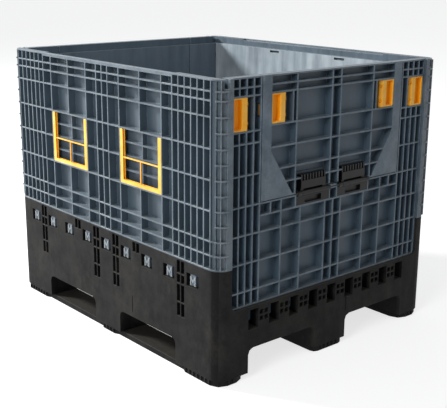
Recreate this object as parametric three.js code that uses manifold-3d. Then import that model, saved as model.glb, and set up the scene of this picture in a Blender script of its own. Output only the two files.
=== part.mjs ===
// Collapsible plastic pallet bin, in millimetres, +Z up.
// The origin is on the floor under the middle of the bin, +X runs along its length.
// Two long walls stand on a moulded pallet base, two end walls fold in between them,
// and each end wall has a drop door.

import * as THREE from 'three';
import { mergeVertices } from 'three/addons/utils/BufferGeometryUtils.js';
import Module from 'manifold-3d';

const wasm = await Module();
wasm.setup();

// Overall size
const LENGTH = 1200;
const WIDTH = 1000;
const HEIGHT = 950;
const CORNER_RADIUS = 45;

// Clearances
const SEAT_GAP = 0.3; // between pieces that rest on each other
const SLIDE_GAP = 0.5; // round a sliding latch and its bolt
const BOLT_GAP = 1.5; // from a bolt's nose to the edge that it shoots into
const DOOR_GAP = 3; // round a drop door
const FOLD_GAP = 4; // between an end wall and the long walls
const HANG_GAP = 1.5; // from a wall's outer face to the line that the door turns about
const BORE_GAP = 0.3; // round a hinge pin

// Walls
const WALL = 40; // thickness over the ribs
const POCKET = 28; // depth of the pockets between the ribs
const RIB = 5;
const RIM_LEDGE = 28; // depth of the stacking ledge below the rim
const RIM_REBATE = 10; // width of that ledge
const END_SET_BACK = 10; // end wall's outer face behind the envelope
const LIP = 12; // how far a corner post covers the end wall's edge

// Pallet base
const SKID_HEIGHT = 20;
const SKID_INSET = 4;
const SKID_WAIST = 8; // a skid is this much narrower on each side between the feet
const SPIGOT_LENGTH = 60;
const SPIGOT_WIDTH = 50;
const SPIGOT_HEIGHT = 14;
const FORK_TOP = 102; // underside of the deck
const FORK_RADIUS = 20;
const DECK_TOP = 150;
const END_FOOT = 210; // length of a corner foot along X
const SIDE_FOOT = 126; // width of a corner foot along Y
const MIDDLE_FOOT_LENGTH = 154;
const MIDDLE_FOOT_WIDTH = 150;
const LONG_SIDE_TOP = 378; // where the long walls stand
const END_SIDE_TOP = 242; // where the end walls stand
const LONG_SIDE = 42; // thickness of the base's long sides
const END_SIDE = 46; // thickness of the base's ends
const END_CORNER_RADIUS = 15; // lower corners of the end wall's opening
const HINGE_LEDGE = 20; // ledge that carries the end hinge rods
const HINGE_LEDGE_TOP = 216;

// Long wall grid: half of the columns from the middle out, rows from the top down
const LONG_MIDDLE_COLUMNS = [33.5, 65, 114, 114, 54];
const LONG_NARROW_COLUMNS = 6;
const POST = 39.5; // width of the corner post on the long face
const LONG_TOP_ROWS = [35, 27, 47];
const LONG_TALL_ROWS = 4;
const LONG_BOTTOM_ROWS = [44, 47];
const MIDDLE_RIM_DROP = 6; // the middle of the long rim is lower and thinner
const MIDDLE_RIM_REBATE = 24;
const HAND_SLOT = [152, 203];
const HAND_SLOT_HEIGHT = 9;
const HAND_SLOT_DEPTH = 10;

// Corner post: hollows between angles that run from the long face to the end face
const POST_RECESS = 8;
const CHANNEL_ANGLES = [9, 31];
const RECESS_ANGLES = [33, 75];

// Hinges along the feet of the walls
const ROD_RADIUS = 6;
const LONG_ROD_LENGTH = 1000;
const END_ROD_LENGTH = 780;
const HOOKS = 9; // on each wall
const HOOK_PLATE = 9.7;
const HOOK_REACH = 8; // how far the toe passes the rod
const LONG_HOOK_PITCH = 119.5;
const LONG_HOOK_WIDTH = 26;
const LONG_ROD_DEPTH = 20; // rod's axis behind the long face
const LONG_ROD_DROP = 56; // rod's axis below the long wall
const LONG_WINDOW = [58, 43]; // width and height of a hinge window
const END_HOOK_PITCH = 88.5;
const END_HOOK_WIDTH = 30;
const END_ROD_INSET = 2; // rod's axis outside the end wall's inner face
const END_ROD_DROP = 44;
const END_WINDOW = [42, 66];
const SLOT_CLEARANCE = 2.5; // round a hook's plate in the slot above its window

// Vents in the base
const VENT_CELL = 16;
const VENT_DEPTH = 20;
const VENT_TOP = 372;
const TALL_VENT_ROWS = [41, 28, 57, 44];
const SHORT_VENT_ROWS = [34];
const TALL_VENT_PITCHES = [0.5, 3.5]; // in hook pitches from the middle
const SHORT_VENT_PITCHES = [1.5];
const END_VENT_DEPTH = 12;
const SLIT = [3, 62, 3]; // mould slit: width, height, depth

// End wall grid
const END_NARROW_COLUMNS = 4;
const END_MIDDLE_COLUMNS = [37.5, 151, 236];
const SILL_SPLIT = 281; // one more rib in the rail under the door
const END_TOP_ROWS = [31, 25, 105, 36];
const SIDE_TALL_ROWS = 2;
const LOWER_TALL_ROWS = 3;
const END_BOTTOM_ROW = 50;
const SILL_RAIL = 38;

// Drop door
const DOOR_SILL = 565;
const DOOR_HALF = 322;
const DOOR_LIP = 8; // rebate where the door closes on the end wall
const DOOR_STRIP = 38; // smooth strip down each side
const DOOR_CENTRE_RIB = 20;
const DOOR_COLUMN = 177;
const LATCH_RIB = 194; // inner side of the door latch's pocket
const DOOR_ROWS = [29, 25, 97, 69, 70, 44]; // from the top down
const GUSSET_TOP = 150; // above the door's foot
const GUSSET_FOOT = 136; // width at the door's foot

// Door hinges
const HINGE_INNER = 20;
const HINGE_OUTER = 170;
const EAR = 18.7;
const BARREL_RADIUS = 8;
const PIN_RADIUS = 4;
const LEAF_HEIGHT = 59; // above the turning line
const LEAF_DEPTH = 20;
const BRACKET_DROP = 38; // below the turning line
const BARREL_CLEARANCE = 12; // cut away behind the barrel

// Latches
const WALL_LATCH_ROOM = 14; // beside a latch in its pocket, for its travel
const DOOR_LATCH_ROOM = 21;
const LATCH_FACE_INSET = 2;
const LATCH_FIN = 16; // fin that the fingers pull
const LATCH_RIM = 7;
const LATCH_RECESS = 17;
const BOLT_HEIGHT = 36;
const BOLT_THICKNESS = 12;
const BOLT_BEHIND_FACE = 10;
const STRIKE_DEPTH = 10;
const STRIKE_CLEARANCE = 4;

// Card holders
const CARD_RECESS = 10;
const HOLDER_THICKNESS = 9.5;
const HOLDER_ARM = 16;
const HOLDER_FOOT = 12;
const HOLDER_BAR = 5;
const HOLDER_BAR_HEIGHT = 84;

// Places worked out from the sizes above
const longFace = -WIDTH / 2;
const longInner = longFace + WALL;
const endFace = LENGTH / 2 - END_SET_BACK;
const endInner = endFace - WALL;
const endHalf = WIDTH / 2 - WALL - FOLD_GAP;
const openingHalf = endHalf - LIP;
const doorOpeningHalf = DOOR_HALF + DOOR_GAP;
const doorFoot = DOOR_SILL + DOOR_GAP;
const doorTurn = { x: endFace + HANG_GAP, z: DOOR_SILL + DOOR_GAP / 2 };
const endRod = { x: endInner + END_ROD_INSET, z: END_SIDE_TOP - END_ROD_DROP };
const longRod = { y: longFace + LONG_ROD_DEPTH, z: LONG_SIDE_TOP - LONG_ROD_DROP };
const footTop = SKID_HEIGHT + SEAT_GAP;
const past = 1; // how far a cutter runs past the face that it opens

const AXIS = {
  x: new THREE.Vector3(1, 0, 0),
  y: new THREE.Vector3(0, 1, 0),
  z: new THREE.Vector3(0, 0, 1),
};

// Solids

function solidOf(geometry) {
  geometry.deleteAttribute('normal');
  geometry.deleteAttribute('uv');
  const merged = mergeVertices(geometry, 1e-4);
  return new wasm.Manifold(new wasm.Mesh({
    numProp: 3,
    vertProperties: Float32Array.from(merged.attributes.position.array),
    triVerts: Uint32Array.from(merged.index.array),
  }));
}

// A box between two values on each axis, given in either order
function block([x0, x1], [y0, y1], [z0, z1]) {
  const geometry = new THREE.BoxGeometry(Math.abs(x1 - x0), Math.abs(y1 - y0), Math.abs(z1 - z0));
  geometry.translate((x0 + x1) / 2, (y0 + y1) / 2, (z0 + z1) / 2);
  return solidOf(geometry);
}

function extrude(shape, depth, curveSegments) {
  return new THREE.ExtrudeGeometry(shape, { depth, bevelEnabled: false, curveSegments });
}

// A plan outline in X and Y, raised from z0 to z1
function raised(shape, z0, z1, curveSegments = 3) {
  const geometry = extrude(shape, z1 - z0, curveSegments);
  geometry.translate(0, 0, z0);
  return solidOf(geometry);
}

// An outline in Y and Z, run along X
function runAlongX(shape, x0, x1) {
  const geometry = extrude(shape, x1 - x0, 1);
  geometry.applyMatrix4(new THREE.Matrix4().makeBasis(AXIS.y, AXIS.z, AXIS.x));
  geometry.translate(x0, 0, 0);
  return solidOf(geometry);
}

// An outline in X and Z, run along Y
function runAlongY(shape, y0, y1) {
  const geometry = extrude(shape, y1 - y0, 1);
  geometry.applyMatrix4(new THREE.Matrix4().makeBasis(AXIS.x, AXIS.z, AXIS.y.clone().negate()));
  geometry.translate(0, y1, 0);
  return solidOf(geometry);
}

// A round bar along Y
function barAlongY(x, z, radius, y0, y1, sides = 12) {
  const geometry = new THREE.CylinderGeometry(radius, radius, Math.abs(y1 - y0), sides);
  geometry.translate(x, (y0 + y1) / 2, z);
  return solidOf(geometry);
}

function polygon(points) {
  return new THREE.Shape(points.map(([u, v]) => new THREE.Vector2(u, v)));
}

function roundedRectangle(u0, u1, v0, v1, radius) {
  const shape = new THREE.Shape();
  shape.absarc(u1 - radius, v0 + radius, radius, -Math.PI / 2, 0, false);
  shape.absarc(u1 - radius, v1 - radius, radius, 0, Math.PI / 2, false);
  shape.absarc(u0 + radius, v1 - radius, radius, Math.PI / 2, Math.PI, false);
  shape.absarc(u0 + radius, v0 + radius, radius, Math.PI, 1.5 * Math.PI, false);
  return shape;
}

const join = (first, ...others) => others.reduce((sum, other) => sum.add(other), first);
const cut = (body, cutters) => cutters.reduce((rest, cutter) => rest.subtract(cutter), body);

// Positions from a start, a direction and a list of steps
function stations(start, direction, steps) {
  let at = start;
  return [start, ...steps.map((step) => (at += direction * step))];
}

const equalSteps = (count, whole) => Array(count).fill(whole / count);

// The openings between the ribs whose middles are given
function between(ribs) {
  const sorted = [...ribs].sort((a, b) => a - b);
  return sorted.slice(1).map((next, i) => [sorted[i] + RIB / 2, next - RIB / 2]);
}

const bothSides = [-1, 1];
const mirrored = (values) => [...values.map((value) => -value), ...values];
const hookPlaces = (pitch) => Array.from({ length: HOOKS }, (_, i) => (i - (HOOKS - 1) / 2) * pitch);

// Rib middles of the long wall
const postEdge = LENGTH / 2 - POST;
const longMiddle = LONG_MIDDLE_COLUMNS.reduce((sum, width) => sum + width, 0);
const longHalfRibs = stations(0, 1, [
  ...LONG_MIDDLE_COLUMNS,
  ...equalSteps(LONG_NARROW_COLUMNS, postEdge - longMiddle),
]);
const longRibs = [...longHalfRibs.slice(1).map((x) => -x), ...longHalfRibs];
const wideHalfRibs = [...longHalfRibs.slice(2, LONG_MIDDLE_COLUMNS.length + 1), postEdge];
const longTallTop = HEIGHT - LONG_TOP_ROWS.reduce((sum, row) => sum + row, 0);
const longTallFoot = LONG_SIDE_TOP + LONG_BOTTOM_ROWS.reduce((sum, row) => sum + row, 0);
const longRows = stations(HEIGHT, -1, [
  ...LONG_TOP_ROWS,
  ...equalSteps(LONG_TALL_ROWS, longTallTop - longTallFoot),
  ...LONG_BOTTOM_ROWS,
]);
const cardColumns = [longHalfRibs[2], longHalfRibs[3], longHalfRibs[4]];
const cardRows = [longRows[4], longRows[5], longRows[6]];
const middleRimHalf = longHalfRibs[LONG_MIDDLE_COLUMNS.length];

// The front wall has the full grid and card recesses, the rear wall only the wider ribs
const fullGrid = { ribs: longRibs, rows: longRows, cards: true };
const wideGrid = {
  ribs: [0, ...mirrored(wideHalfRibs)],
  rows: [longRows[0], ...longRows.slice(LONG_TOP_ROWS.length, -2), longRows[longRows.length - 1]],
  cards: false,
};

// The edge ribs lie inside the wall's outline
function withEdgeRibs(rows) {
  const inner = rows.slice(1, -1);
  return [rows[0] - RIB / 2, ...inner, rows[rows.length - 1] + RIB / 2];
}

// Long wall, as it stands at the front

function longWallOutline() {
  const corner = LENGTH / 2 - CORNER_RADIUS;
  const lipFace = endFace + SEAT_GAP;
  const shape = new THREE.Shape();
  shape.absarc(corner, longFace + CORNER_RADIUS, CORNER_RADIUS, -Math.PI / 2, 0, false);
  shape.lineTo(LENGTH / 2, -openingHalf);
  shape.lineTo(lipFace, -openingHalf);
  shape.lineTo(lipFace, longInner);
  shape.lineTo(-lipFace, longInner);
  shape.lineTo(-lipFace, -openingHalf);
  shape.lineTo(-LENGTH / 2, -openingHalf);
  shape.absarc(-corner, longFace + CORNER_RADIUS, CORNER_RADIUS, Math.PI, 1.5 * Math.PI, false);
  return shape;
}

function isCardCell([x0, x1], [z0, z1]) {
  const middle = Math.abs(x0 + x1) / 2;
  const inColumns = middle > cardColumns[0] && middle < cardColumns[2];
  return inColumns && z0 > cardRows[2] && z1 < cardRows[0];
}

function longPockets({ ribs, rows, cards }) {
  const depth = [longFace - past, longFace + POCKET];
  const loweredTop = HEIGHT - MIDDLE_RIM_DROP - RIB;
  const isLowered = (column) => Math.max(...column.map(Math.abs)) < middleRimHalf;
  return between(ribs).flatMap((column) => between(withEdgeRibs(rows))
    .filter((row) => !(cards && isCardCell(column, row)))
    .map(([foot, top]) => block(column, depth, [foot, isLowered(column) ? Math.min(top, loweredTop) : top])));
}

// A shallow recess for a card holder, with a closer grid behind it
function cardPockets(side) {
  const [low, high] = [cardRows[2], cardRows[0]];
  const rows = between([...cardRows, (low + cardRows[1]) / 2, (high + cardRows[1]) / 2]);
  const columns = between(cardColumns.map((x) => side * x));
  const width = [side * (cardColumns[0] + RIB / 2), side * (cardColumns[2] - RIB / 2)];
  const recess = block(width, [longFace - past, longFace + CARD_RECESS], [low + RIB / 2, high - RIB / 2]);
  const cells = columns.flatMap((column) => rows
    .map((row) => block(column, [longFace, longFace + POCKET], row)));
  return [recess, ...cells];
}

// The part of the corner's skin between two angles, between two heights
function cornerBand(side, [from, to], [z0, z1]) {
  const centre = [side * (LENGTH / 2 - CORNER_RADIUS), longFace + CORNER_RADIUS];
  const at = (radius, degrees) => {
    const angle = THREE.MathUtils.degToRad(degrees);
    return [centre[0] + side * radius * Math.sin(angle), centre[1] - radius * Math.cos(angle)];
  };
  const middle = (from + to) / 2;
  const floor = CORNER_RADIUS - POST_RECESS;
  const clear = CORNER_RADIUS + POST_RECESS;
  const outline = polygon([
    at(floor, from), at(clear, from), at(clear, middle), at(clear, to), at(floor, to), at(floor, middle),
  ]);
  return raised(outline, z0, z1);
}

// A channel and a recess run down the corner, and the lowest ribs cross the channel
function postPockets(side) {
  const last = longRows.length - 1;
  const recess = [LONG_SIDE_TOP + RIB, HEIGHT - RIB];
  const channelRows = [longRows[last] + RIB / 2, longRows[last - 1], longRows[last - 2], HEIGHT - RIB / 2];
  return [
    cornerBand(side, RECESS_ANGLES, recess),
    ...between(channelRows).map((row) => cornerBand(side, CHANNEL_ANGLES, row)),
  ];
}

// A hook under a wall, seen along the rod: a plate outside the rod and a toe below it
function hookOutline(rodAt, rodHeight, outward, wallFoot) {
  const inside = ROD_RADIUS + SEAT_GAP;
  const outside = inside + HOOK_PLATE;
  return polygon([
    [rodAt + outward * inside, wallFoot + past],
    [rodAt + outward * outside, wallFoot + past],
    [rodAt + outward * outside, rodHeight - outside],
    [rodAt - outward * HOOK_REACH, rodHeight - outside],
    [rodAt - outward * HOOK_REACH, rodHeight - inside],
    [rodAt + outward * inside, rodHeight - inside],
  ]);
}

function longHooks() {
  const outline = hookOutline(longRod.y, longRod.z, -1, LONG_SIDE_TOP);
  return hookPlaces(LONG_HOOK_PITCH)
    .map((x) => runAlongX(outline, x - LONG_HOOK_WIDTH / 2, x + LONG_HOOK_WIDTH / 2));
}

// The socket that an end wall's bolt shoots into
function postStrike(side) {
  const latch = wallLatchPlace;
  const x = [side * (latch.boltX[0] - STRIKE_CLEARANCE), side * (latch.boltX[1] + STRIKE_CLEARANCE)];
  const z = [latch.boltZ[0] - STRIKE_CLEARANCE, latch.boltZ[1] + STRIKE_CLEARANCE];
  return block(x, [longInner - STRIKE_DEPTH, longInner + past], z);
}

function longRim() {
  const ledge = HEIGHT - RIM_LEDGE;
  const clear = HEIGHT + past;
  const lowered = HEIGHT - MIDDLE_RIM_DROP;
  const slotTop = ledge - RIB;
  return [
    block([-LENGTH, LENGTH], [longInner - RIM_REBATE, longInner + past], [ledge, clear]),
    block([-middleRimHalf, middleRimHalf], [longInner - MIDDLE_RIM_REBATE, longInner + past], [lowered, clear]),
    ...bothSides.map((side) => block(
      [side * HAND_SLOT[0], side * HAND_SLOT[1]],
      [longInner - HAND_SLOT_DEPTH, longInner + past],
      [slotTop - HAND_SLOT_HEIGHT, slotTop],
    )),
  ];
}

function longWall(grid) {
  const slab = raised(longWallOutline(), LONG_SIDE_TOP, HEIGHT);
  const ribbed = cut(slab, [
    ...longPockets(grid),
    ...(grid.cards ? bothSides.flatMap((side) => cardPockets(side)) : []),
    ...bothSides.flatMap((side) => postPockets(side)),
    ...bothSides.map((side) => postStrike(side)),
    ...longRim(),
  ]);
  return join(ribbed, ...longHooks());
}

// End wall, as it stands at the right-hand end

const sideRibs = stations(doorOpeningHalf + RIB / 2, 1,
  equalSteps(END_NARROW_COLUMNS, openingHalf - RIB / 2 - (doorOpeningHalf + RIB / 2)));
const sillRib = DOOR_SILL - RIB / 2;
const endTopRows = stations(HEIGHT, -1, END_TOP_ROWS);
const lastTopRow = endTopRows[endTopRows.length - 1];
const sideRows = [
  HEIGHT - RIB / 2,
  ...endTopRows.slice(1),
  ...stations(lastTopRow, -1, equalSteps(SIDE_TALL_ROWS, lastTopRow - sillRib)).slice(1),
];
const endBottomRow = END_SIDE_TOP + END_BOTTOM_ROW;
const lowerRows = [
  ...stations(sillRib, -1, equalSteps(LOWER_TALL_ROWS, sillRib - endBottomRow)),
  END_SIDE_TOP + RIB / 2,
];
const latchRow = [endTopRows[3], endTopRows[2]];
const doorRows = [
  HEIGHT - RIB / 2,
  ...stations(HEIGHT, -1, DOOR_ROWS).slice(1),
  doorFoot + RIB / 2,
];
const doorLatchRow = [doorRows[3], doorRows[2]];

// Where a latch slides and where its bolt goes, for the latch on the +Y side
function latchPlace(pocketY, pocketRow, edgeY, room) {
  const pocketZ = [pocketRow[0] + RIB / 2, pocketRow[1] - RIB / 2];
  const outerY = pocketY[1] - SLIDE_GAP;
  const middleZ = (pocketZ[0] + pocketZ[1]) / 2;
  const boltFace = endFace - BOLT_BEHIND_FACE;
  return {
    pocketY,
    pocketZ,
    bodyY: [pocketY[0] + room, outerY],
    bodyZ: [pocketZ[0] + SLIDE_GAP, pocketZ[1] - SLIDE_GAP],
    boltX: [boltFace - BOLT_THICKNESS, boltFace],
    boltZ: [middleZ - BOLT_HEIGHT / 2, middleZ + BOLT_HEIGHT / 2],
    noseY: edgeY + BOLT_GAP,
  };
}

const lastSideRib = sideRibs[sideRibs.length - 1];
const wallPocket = [sideRibs[1] + RIB / 2, lastSideRib - RIB / 2];
const wallLatchPlace = latchPlace(wallPocket, latchRow, endHalf, WALL_LATCH_ROOM);
const doorStripEdge = DOOR_HALF - DOOR_STRIP;
const doorPocket = [LATCH_RIB + RIB / 2, doorStripEdge];
const doorLatchPlace = latchPlace(doorPocket, doorLatchRow, DOOR_HALF, DOOR_LATCH_ROOM);

const pocketDepth = [endFace - POCKET, endFace + past];

function latchPocket(side, place) {
  return block(pocketDepth, place.pocketY.map((y) => side * y), place.pocketZ);
}

function boltHole(side, place, fromY, toY) {
  return block(
    [place.boltX[0] - SLIDE_GAP, place.boltX[1] + SLIDE_GAP],
    [side * fromY, side * toY],
    [place.boltZ[0] - SLIDE_GAP, place.boltZ[1] + SLIDE_GAP],
  );
}

function endSidePockets(side, ribs) {
  const rows = between(sideRows);
  const columns = between(ribs);
  const isLatchCell = (column, row) => row[0] > latchRow[0] && row[1] < latchRow[1]
    && column[1] > wallLatchPlace.pocketY[0] + RIB;
  return columns.flatMap((column) => rows
    .filter((row) => !isLatchCell(column, row))
    .map((row) => block(pocketDepth, column.map((y) => side * y), row)));
}

function endLowerPockets(outerRibs) {
  const grid = (ribs, rows) => between(ribs).flatMap((column) => between(rows)
    .map((row) => block(pocketDepth, column, row)));
  const railRow = DOOR_SILL - RIB / 2 - SILL_RAIL;
  const middleRibs = [0, ...mirrored([...END_MIDDLE_COLUMNS, doorOpeningHalf + RIB / 2])];
  const rail = [railRow + RIB / 2, sillRib - RIB / 2];
  const hingeEdge = HINGE_OUTER + RIB;
  const lastMiddle = END_MIDDLE_COLUMNS[END_MIDDLE_COLUMNS.length - 1];
  const railRibs = [hingeEdge - RIB / 2, lastMiddle, SILL_SPLIT, doorOpeningHalf + RIB / 2];
  return [
    ...bothSides.flatMap((side) => grid(outerRibs.map((y) => side * y), lowerRows)),
    ...grid(middleRibs, [railRow, ...lowerRows.slice(1)]),
    ...bothSides.flatMap((side) => between(railRibs)
      .map((column) => block(pocketDepth, column.map((y) => side * y), rail))),
    block(pocketDepth, [RIB - HINGE_INNER, HINGE_INNER - RIB], rail),
  ];
}

// The end wall is cut away where the hinge bracket sits
function bracketSeat(side) {
  return block(
    [endFace - LEAF_DEPTH, endFace + past],
    [side * (HINGE_INNER - SEAT_GAP), side * (HINGE_OUTER + SEAT_GAP)],
    [doorTurn.z - BRACKET_DROP - SEAT_GAP, DOOR_SILL + past],
  );
}

function endHooks() {
  const outline = hookOutline(endRod.x, endRod.z, 1, END_SIDE_TOP);
  return hookPlaces(END_HOOK_PITCH)
    .map((y) => runAlongY(outline, y - END_HOOK_WIDTH / 2, y + END_HOOK_WIDTH / 2));
}

const endRim = () => block(
  [endInner - past, endInner + RIM_REBATE],
  [-WIDTH, WIDTH],
  [HEIGHT - RIM_LEDGE, HEIGHT + past],
);

function endWall(ribs) {
  const slab = block([endInner, endFace], [-endHalf, endHalf], [END_SIDE_TOP, HEIGHT]);
  const lipHalf = doorOpeningHalf - DOOR_LIP - DOOR_GAP;
  const ribbed = cut(slab, [
    block([endInner - past, endFace + past], [-lipHalf, lipHalf], [DOOR_SILL, HEIGHT + past]),
    block([endInner + DOOR_LIP, endFace + past], [-doorOpeningHalf, doorOpeningHalf], [DOOR_SILL, HEIGHT + past]),
    ...bothSides.flatMap((side) => endSidePockets(side, ribs)),
    ...endLowerPockets(ribs),
    ...bothSides.map((side) => latchPocket(side, wallLatchPlace)),
    ...bothSides.map((side) => boltHole(side, wallLatchPlace, wallLatchPlace.pocketY[0] + RIB, endHalf + past)),
    ...bothSides.map((side) => doorStrike(side)),
    ...bothSides.map((side) => bracketSeat(side)),
    endRim(),
  ]);
  return join(ribbed, ...endHooks());
}

// The hole in the end wall's edge that a door's bolt shoots into
function doorStrike(side) {
  const place = doorLatchPlace;
  return block(
    [place.boltX[0] - STRIKE_CLEARANCE, place.boltX[1] + STRIKE_CLEARANCE],
    [side * (doorOpeningHalf - past), side * (doorOpeningHalf + STRIKE_DEPTH)],
    [place.boltZ[0] - STRIKE_CLEARANCE, place.boltZ[1] + STRIKE_CLEARANCE],
  );
}

// Drop door

// Smooth corner of the door that widens towards its foot
function gusset(side) {
  const outline = polygon([
    [side * doorStripEdge, doorFoot + GUSSET_TOP],
    [side * (DOOR_HALF - GUSSET_FOOT), doorFoot],
    [side * DOOR_HALF, doorFoot],
    [side * DOOR_HALF, doorFoot + GUSSET_TOP],
  ]);
  return runAlongX(outline, endInner, endFace + 2 * past);
}

// The door stays solid behind a hinge leaf
function leafPad(side) {
  return block(
    [endInner, endFace - LEAF_DEPTH],
    [side * (HINGE_INNER + EAR - RIB), side * (HINGE_OUTER - EAR + RIB)],
    [doorFoot, doorTurn.z + LEAF_HEIGHT + RIB],
  );
}

function doorPockets() {
  const isLatchCell = (column, row) => row[0] > doorLatchRow[0] && row[1] < doorLatchRow[1]
    && column[0] > DOOR_COLUMN;
  const rows = between(doorRows);
  const columns = [
    [DOOR_CENTRE_RIB + RIB / 2, DOOR_COLUMN - RIB / 2],
    [DOOR_COLUMN + RIB / 2, doorStripEdge],
  ];
  const middle = between([-DOOR_CENTRE_RIB, DOOR_CENTRE_RIB])
    .flatMap((column) => rows.map((row) => block(pocketDepth, column, row)));
  const sides = bothSides.flatMap((side) => columns.flatMap((column) => rows
    .filter((row) => !isLatchCell(column, row))
    .map((row) => cut(block(pocketDepth, column.map((y) => side * y), row), [gusset(side), leafPad(side)]))));
  const besideLatch = [DOOR_COLUMN + RIB / 2, LATCH_RIB - RIB / 2];
  const narrow = bothSides.map((side) => block(
    pocketDepth,
    besideLatch.map((y) => side * y),
    doorLatchPlace.pocketZ,
  ));
  return [...middle, ...sides, ...narrow];
}

function leafSeat(side) {
  return block(
    [endFace - LEAF_DEPTH, endFace + past],
    [side * (HINGE_INNER + EAR), side * (HINGE_OUTER - EAR)],
    [doorFoot - past, doorTurn.z + LEAF_HEIGHT + SEAT_GAP],
  );
}

// Room for the hinge's ears below the door's foot
function earClearance(side) {
  return block(
    [endFace - BARREL_CLEARANCE, endFace + past],
    [side * (HINGE_INNER - DOOR_GAP), side * (HINGE_OUTER + DOOR_GAP)],
    [doorFoot - past, doorTurn.z + BARREL_CLEARANCE],
  );
}

function dropDoor() {
  const slab = block([endInner, endFace], [-DOOR_HALF, DOOR_HALF], [doorFoot, HEIGHT]);
  return cut(slab, [
    ...bothSides.map((side) => block(
      [endInner - past, endInner + DOOR_LIP + SEAT_GAP],
      [side * (DOOR_HALF - DOOR_LIP - DOOR_GAP), side * (DOOR_HALF + past)],
      [doorFoot - past, HEIGHT + past],
    )),
    ...doorPockets(),
    ...bothSides.map((side) => latchPocket(side, doorLatchPlace)),
    ...bothSides.map((side) => boltHole(side, doorLatchPlace, doorLatchPlace.pocketY[1] - past, DOOR_HALF + past)),
    ...bothSides.map((side) => leafSeat(side)),
    ...bothSides.map((side) => earClearance(side)),
    endRim(),
  ]);
}

// Door hinge, for the one on the +Y side: a bracket on the end wall, a leaf on the door
// and a pin through both

const hingeBore = () => barAlongY(
  doorTurn.x,
  doorTurn.z,
  (PIN_RADIUS + BORE_GAP) / Math.cos(Math.PI / 8),
  HINGE_INNER - past,
  HINGE_OUTER + past,
  8,
);

function hingeBracket() {
  const back = endFace - LEAF_DEPTH + SEAT_GAP;
  const foot = doorTurn.z - BRACKET_DROP;
  const plateTop = doorTurn.z - BARREL_RADIUS - 2 * SEAT_GAP;
  const plate = block([back, endFace], [HINGE_INNER, HINGE_OUTER], [foot, plateTop]);
  const ears = [[HINGE_INNER, HINGE_INNER + EAR], [HINGE_OUTER - EAR, HINGE_OUTER]].flatMap(([y0, y1]) => [
    barAlongY(doorTurn.x, doorTurn.z, BARREL_RADIUS, y0, y1, 8),
    block([endFace - BARREL_RADIUS, endFace], [y0, y1], [foot + past, doorTurn.z]),
  ]);
  const window = block(
    [endFace - LEAF_DEPTH / 2, endFace + past],
    [HINGE_INNER + 2 * EAR, HINGE_OUTER - 2 * EAR],
    [foot + RIB, plateTop - RIB],
  );
  return cut(join(plate, ...ears), [hingeBore(), window]);
}

function hingeLeaf() {
  const y0 = HINGE_INNER + EAR + SEAT_GAP;
  const y1 = HINGE_OUTER - EAR - SEAT_GAP;
  const back = endFace - LEAF_DEPTH + SEAT_GAP;
  const plateFoot = doorFoot + SEAT_GAP;
  const plate = block([back, endFace], [y0, y1], [plateFoot, doorTurn.z + LEAF_HEIGHT]);
  const barrel = barAlongY(doorTurn.x, doorTurn.z, BARREL_RADIUS, y0, y1);
  return cut(join(plate, barrel), [hingeBore()]);
}

const hingePin = () => barAlongY(doorTurn.x, doorTurn.z, PIN_RADIUS, HINGE_INNER, HINGE_OUTER, 8);

// Latch with a finger recess and a bolt, for the one on the +Y side

function latch(place) {
  const [y0, y1] = place.bodyY;
  const [z0, z1] = place.bodyZ;
  const front = endFace - LATCH_FACE_INSET;
  const body = block([endFace - POCKET + SEAT_GAP, front], [y0, y1], [z0, z1]);
  const bolt = block(place.boltX, [y1 - past, place.noseY], place.boltZ);
  const recess = block(
    [front - LATCH_RECESS, front + past],
    [y0 + LATCH_FIN, y1 - LATCH_RIM],
    [z0 + LATCH_RIM, z1 - LATCH_RIM],
  );
  const relief = block([front - LATCH_RIM, front + past], [y0 - past, y0 + LATCH_FIN / 2], [z0 - past, z1 + past]);
  return cut(join(body, bolt), [recess, relief]);
}

// Card holder, for the one on the +X side: a frame open at its top with two thin bars

function cardHolder() {
  const x0 = cardColumns[0] + RIB / 2 + SLIDE_GAP;
  const x1 = cardColumns[2] - RIB / 2 - SLIDE_GAP;
  const z0 = cardRows[2] + RIB / 2 + SLIDE_GAP;
  const z1 = cardRows[0] - RIB / 2 - SLIDE_GAP;
  const barFoot = z0 + HOLDER_BAR_HEIGHT;
  const barTop = barFoot + HOLDER_BAR;
  const middle = (x0 + x1) / 2;
  const back = longFace + CARD_RECESS - SEAT_GAP;
  const front = back - HOLDER_THICKNESS;
  const through = [front - past, back + past];
  const window = [z0 + HOLDER_FOOT, barFoot];
  return cut(block([x0, x1], [front, back], [z0, z1]), [
    block([x0 + HOLDER_ARM, x1 - HOLDER_ARM], through, [barTop, z1 + past]),
    block([x0 + HOLDER_ARM, middle - HOLDER_BAR / 2], through, window),
    block([middle + HOLDER_BAR / 2, x1 - HOLDER_ARM], through, window),
  ]);
}

// Pallet base

function forkShape(inner, outer) {
  const shape = new THREE.Shape();
  shape.moveTo(inner, -past);
  shape.lineTo(outer, -past);
  shape.absarc(outer - FORK_RADIUS, FORK_TOP - FORK_RADIUS, FORK_RADIUS, 0, Math.PI / 2, false);
  shape.absarc(inner + FORK_RADIUS, FORK_TOP - FORK_RADIUS, FORK_RADIUS, Math.PI / 2, Math.PI, false);
  return shape;
}

function forkChannels() {
  const endwise = [MIDDLE_FOOT_WIDTH / 2, WIDTH / 2 - SIDE_FOOT];
  const sideways = [MIDDLE_FOOT_LENGTH / 2, LENGTH / 2 - END_FOOT];
  return [
    runAlongX(forkShape(endwise[0], endwise[1]), -LENGTH / 2 - past, LENGTH / 2 + past),
    runAlongX(forkShape(-endwise[1], -endwise[0]), -LENGTH / 2 - past, LENGTH / 2 + past),
    runAlongY(forkShape(sideways[0], sideways[1]), -WIDTH / 2 - past, WIDTH / 2 + past),
    runAlongY(forkShape(-sideways[1], -sideways[0]), -WIDTH / 2 - past, WIDTH / 2 + past),
  ];
}

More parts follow.
